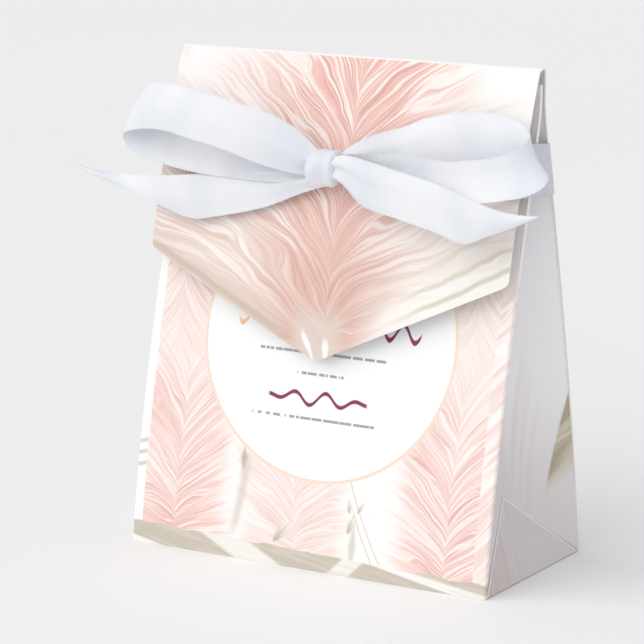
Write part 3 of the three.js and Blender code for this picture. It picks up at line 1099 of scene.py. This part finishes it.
RIGHT_LOOP = [
    (3, -15.6, 114.5, 3, -17, 108),
    (7, -14.6, 117.6, 7, -16.6, 107.6),
    (13, -13, 120.6, 13, -15.9, 107.8),
    (20, -11.6, 122.8, 20, -14.9, 109.4),
    (30, -10.9, 126.5, 30, -14, 113),
    (40, -10.7, 128.3, 40.5, -13.8, 114.8),
    (50, -10.9, 128.2, 51, -14, 114.6),
    (55.6, -12.2, 127.2, 59.4, -13.8, 116.4),
    (58.9, -14, 126, 65.2, -15.6, 115),
    (61.2, -16.6, 124.1, 68, -18.8, 113.2),
    (60.7, -19, 121.9, 67.2, -21.8, 110.9),
    (57.7, -20.8, 120, 62.8, -23.4, 108.7),
    (52.8, -21.4, 118.2, 57, -24.1, 107.4),
    (46, -21.6, 117, 49.5, -24.2, 106),
    (39, -21.6, 116.2, 40, -23.8, 105),
    (29, -21.2, 116.9, 30, -22.8, 105.6),
    (19, -20.2, 116.3, 19, -21.4, 106.4),
    (9, -18.4, 115.6, 9, -19.4, 107.8),
    (3, -17.2, 114.2, 3, -17.8, 108.4),
]
LEFT_TAIL = [
    (-2, -17, 110, -2, -17.4, 105.2),
    (-14, -16.4, 109, -8, -17.4, 103.1),
    (-27, -16.6, 107.4, -20, -17.8, 98.2),
    (-42.8, -17.2, 105.6, -35.4, -18.6, 94.4),
    (-54, -17.6, 104.4, -43.8, -19, 93.4),
    (-64, -18, 103.9, -56, -19.2, 97),
    (-74, -18.8, 104.2, -70, -19.6, 101.2),
    (-84.9, -20.4, 106.2, -84.7, -20.4, 105.8),
]
RIGHT_TAIL = [
    (3.5, -20.4, 114.6, 3.5, -20.8, 109),
    (9, -21.6, 115.4, 8.4, -21.9, 107),
    (17, -22.9, 114.4, 14.8, -22.8, 102.2),
    (28, -24, 112.4, 25.9, -24.2, 100),
    (38, -24.9, 110.6, 37.9, -25.4, 97.7),
    (48, -25.4, 107.6, 46.9, -25.8, 95.4),
    (55.5, -25.4, 105.4, 53.6, -25.6, 97.8),
    (62, -24.8, 104.4, 61.1, -25, 100.8),
    (67.9, -23.6, 104.3, 67.7, -23.6, 104),
]


# Each: piece, stops, camber, how deeply both ends are gathered, where its cut starts, and CAD node.
BOW = (
    ("left_loop", LEFT_LOOP, -0.9, (0.55, 0.5), None, "bow_loop_left"),
    ("right_loop", RIGHT_LOOP, 0.9, (0.5, 0.55), None, "bow_loop_right"),
    ("left_tail", LEFT_TAIL, -0.6, (0.6, 0.0), 0.5, "bow_tail_left"),
    ("right_tail", RIGHT_TAIL, 0.6, (0.6, 0.0), 0.62, "bow_tail_right"),
)


def make_bow():
    """The bow's loops and tails, each a strip whose flat length is measured along it."""
    for name, stops, camber, pleats, cut, node in BOW:
        made, measured = ribbon_piece(name, stops, camber, pleats, cut)
        place(made, "ribbon", "satin", node)
        flat = (RIBBON_WIDTH * MM, measured * MM)
        area = flat[0] * flat[1] if cut is None else flat[0] * flat[1] * (1 + cut) / 2


KNOT_MIDDLE = np.array([0.0, -18.4, 110.8])
KNOT_RING, KNOT_ROWS = 64, 33
KNOT_HALF = (5.7, 4.3, 5.2)  # across, deep and tall
KNOT_ROLL = 0.55  # share of the half width after which the edge rolls in
KNOT_PLEAT = 0.2


def make_knot():
    """The wrap round the middle: a gathered band whose edges roll in round the loops."""
    angles = np.linspace(0, 2 * math.pi, KNOT_RING + 1)
    half_x, half_y, half_z = KNOT_HALF
    points = np.zeros((KNOT_ROWS, KNOT_RING + 1, 3))
    for r, v in enumerate(np.linspace(-1, 1, KNOT_ROWS)):
        rolled = max(0, abs(v) - KNOT_ROLL) / (1 - KNOT_ROLL)
        x = half_x * v * (1 - 0.1 * rolled**2)
        shrink = 1 - 0.34 * rolled**1.8
        pleat = KNOT_PLEAT * math.cos(v * math.pi * 1.9 + 1.2) * (1 - rolled)
        for c, a in enumerate(angles):
            squeeze = 1 - 0.1 * abs(math.sin(a)) + 0.05 * math.sin(3 * a + v * 2)
            y = math.cos(a) * (half_y * shrink + pleat) * squeeze
            z = math.sin(a) * (half_z * shrink + pleat) + 0.35 * v
            skew = 0.12 * z + 0.3 * math.sin(2 * a + v)
            narrow = 0.84 + 0.16 * math.sin(a) ** 2
            points[r, c] = KNOT_MIDDLE + np.array([x * narrow + skew, y, z])
    round_length = arc_length(points[KNOT_ROWS // 2])
    levels = np.linspace(-RIBBON_WIDTH / 2, RIBBON_WIDTH / 2, KNOT_ROWS)
    made = skin("knot", points, sheet_grid(round_length, levels), RIBBON, [SATIN] * 3, ring=True)
    place(made, "ribbon", "satin", "bow_knot")


KNOT_LEVEL = 110.2
BELT_CLEAR = 0.45
BELT_CORNER = 1.3
BELT_EDGE = HALF_WIDTH + BELT_CLEAR - BELT_CORNER
BELT_LIFT_LEFT, BELT_LIFT_RIGHT = 3.6, 1.2
BELT_GATHER, BELT_GATHER_REACH = 0.5, 13
BELT_ROWS = 13
# Points round the band: along a face, round a corner and across a side.
FACE_STEPS, CORNER_STEPS, SIDE_STEPS = 420, 6, 60


def belt_lift(x, side):
    """The band rides up a little behind the loops; side runs from -1 in front to 1 behind."""
    if side >= 0.5:
        return 0.0
    front = 1 if side == -1 else 0.5 - side
    lift = BELT_LIFT_LEFT if x < 0 else BELT_LIFT_RIGHT
    return front * lift * min(1.0, abs(x) / HALF_WIDTH)


def belt_gather(x, side):
    """How far the band is drawn together behind the knot."""
    return BELT_GATHER * math.exp(-((x / BELT_GATHER_REACH) ** 2)) if side == -1 else 0.0


def side_run(hand):
    """The straight stretch across a side; its place runs from -0.5 at the front to 0.5 at the back."""
    steps = np.linspace(-0.5, 0.5, SIDE_STEPS)[1:-1] * hand
    return [(hand * BELT_EDGE, step, float(hand), 0.0) for step in steps]


def make_belt():
    """The band round the box: over the flap in front and flat along the back."""
    levels = np.linspace(belt_low.z, belt_high.z, BELT_ROWS)
    across = np.linspace(-BELT_EDGE, BELT_EDGE, FACE_STEPS)[:-1]
    turn = np.linspace(-math.pi / 2, 0, CORNER_STEPS + 1)[:-1]
    # Each column: x, side, and the way its corner bulges in x and y.
    columns = [(x, -1, 0.0, -1.0) for x in across]
    columns += [(BELT_EDGE, -1, math.cos(a), math.sin(a)) for a in turn]
    columns += side_run(1)
    columns += [(BELT_EDGE, 1, -math.sin(a), math.cos(a)) for a in turn]
    columns += [(-x, 1, 0.0, 1.0) for x in across]
    columns += [(-BELT_EDGE, 1, -math.cos(a), -math.sin(a)) for a in turn]
    columns += side_run(-1)
    # This last corner, behind the left loop, folds in on itself.
    columns += [(-BELT_EDGE, -1, -math.cos(a), -math.cos(a)) for a in turn]
    columns.append(columns[0])
    points = np.zeros((len(levels), len(columns), 3))
    for r, z in enumerate(levels):
        front_y = -(float(flap_out(HEIGHT - z)) + BELT_CLEAR - BELT_CORNER)
        back_y = float(wall_half_depth(z)) + BELT_CLEAR - BELT_CORNER
        for c, (x, side, ax, ay) in enumerate(columns):
            base = front_y if side < 0 else back_y
            if abs(side) < 1:
                base = front_y + (back_y - front_y) * (side + 0.5)
            level = z + belt_lift(x, side) - belt_gather(x, side) * (z - KNOT_LEVEL)
            points[r, c] = (x + BELT_CORNER * ax, base + BELT_CORNER * ay, level)
    length = arc_length(points[len(levels) // 2])
    scallop = PICOT_DEPTH * np.cos(length * 2 * math.pi / PICOT)
    points[-1, :, 2] += scallop
    points[0, :, 2] -= scallop
    sheet = sheet_grid(length, levels - (belt_low.z + belt_high.z) / 2)
    # The band wears the darker satin, which is painted shade.
    made = skin("belt", points, sheet, RIBBON, [SHADED_BELT_SATIN] * 3, ring=True)
    place(made, "ribbon", "satin", "ribbon_belt")


make_bow()
make_knot()
make_belt()


# ---- floor and light
FLOOR_HALF = 8.0  # metres
FLOOR_LEVEL = -0.00004


def make_floor():
    """The plain pale floor."""
    shop = Shop("floor")
    x, y, _ = shop.body_place()
    shop.colour = shop.mix(noise(x * 0.002, y * 0.002, 1.0), FLOOR_LIGHT, FLOOR_DARK)
    mesh = bpy.data.meshes.new("floor")
    corners = [(-1, -1), (1, -1), (1, 1), (-1, 1)]
    mesh.from_pydata([(FLOOR_HALF * cx, FLOOR_HALF * cy, FLOOR_LEVEL) for cx, cy in corners], [], [range(4)])
    mesh.materials.append(shop.finish(0.9))
    add_object("floor", mesh)


def sun(name, azimuth, elevation, power, softness, colour):
    """A far, soft light. azimuth is measured from the front, positive to the right."""
    data = bpy.data.lights.new(name, "SUN")
    data.energy = power
    data.angle = math.radians(softness)
    data.color = colour
    light = add_object(name, data)
    turn, rise = math.radians(azimuth), math.radians(elevation)
    towards = Vector((math.sin(turn) * math.cos(rise), -math.cos(turn) * math.cos(rise), math.sin(rise)))
    light.rotation_euler = towards.to_track_quat("Z", "Y").to_euler()
    light.location = towards


def make_world():
    """Even, slightly cool light from all round."""
    world = bpy.data.worlds.new("studio")
    world.use_nodes = True
    light = world.node_tree.nodes["Background"].inputs
    light["Color"].default_value = (0.975, 0.985, 1, 1)
    light["Strength"].default_value = 0.62
    bpy.context.scene.world = world


bpy.context.scene.view_settings.view_transform = "Standard"
make_floor()
make_world()
sun("key", -34, 44, 1.34, 70, (1, 0.985, 0.97))
sun("fill", 16, 8, 0.18, 50, (1, 0.99, 0.98))
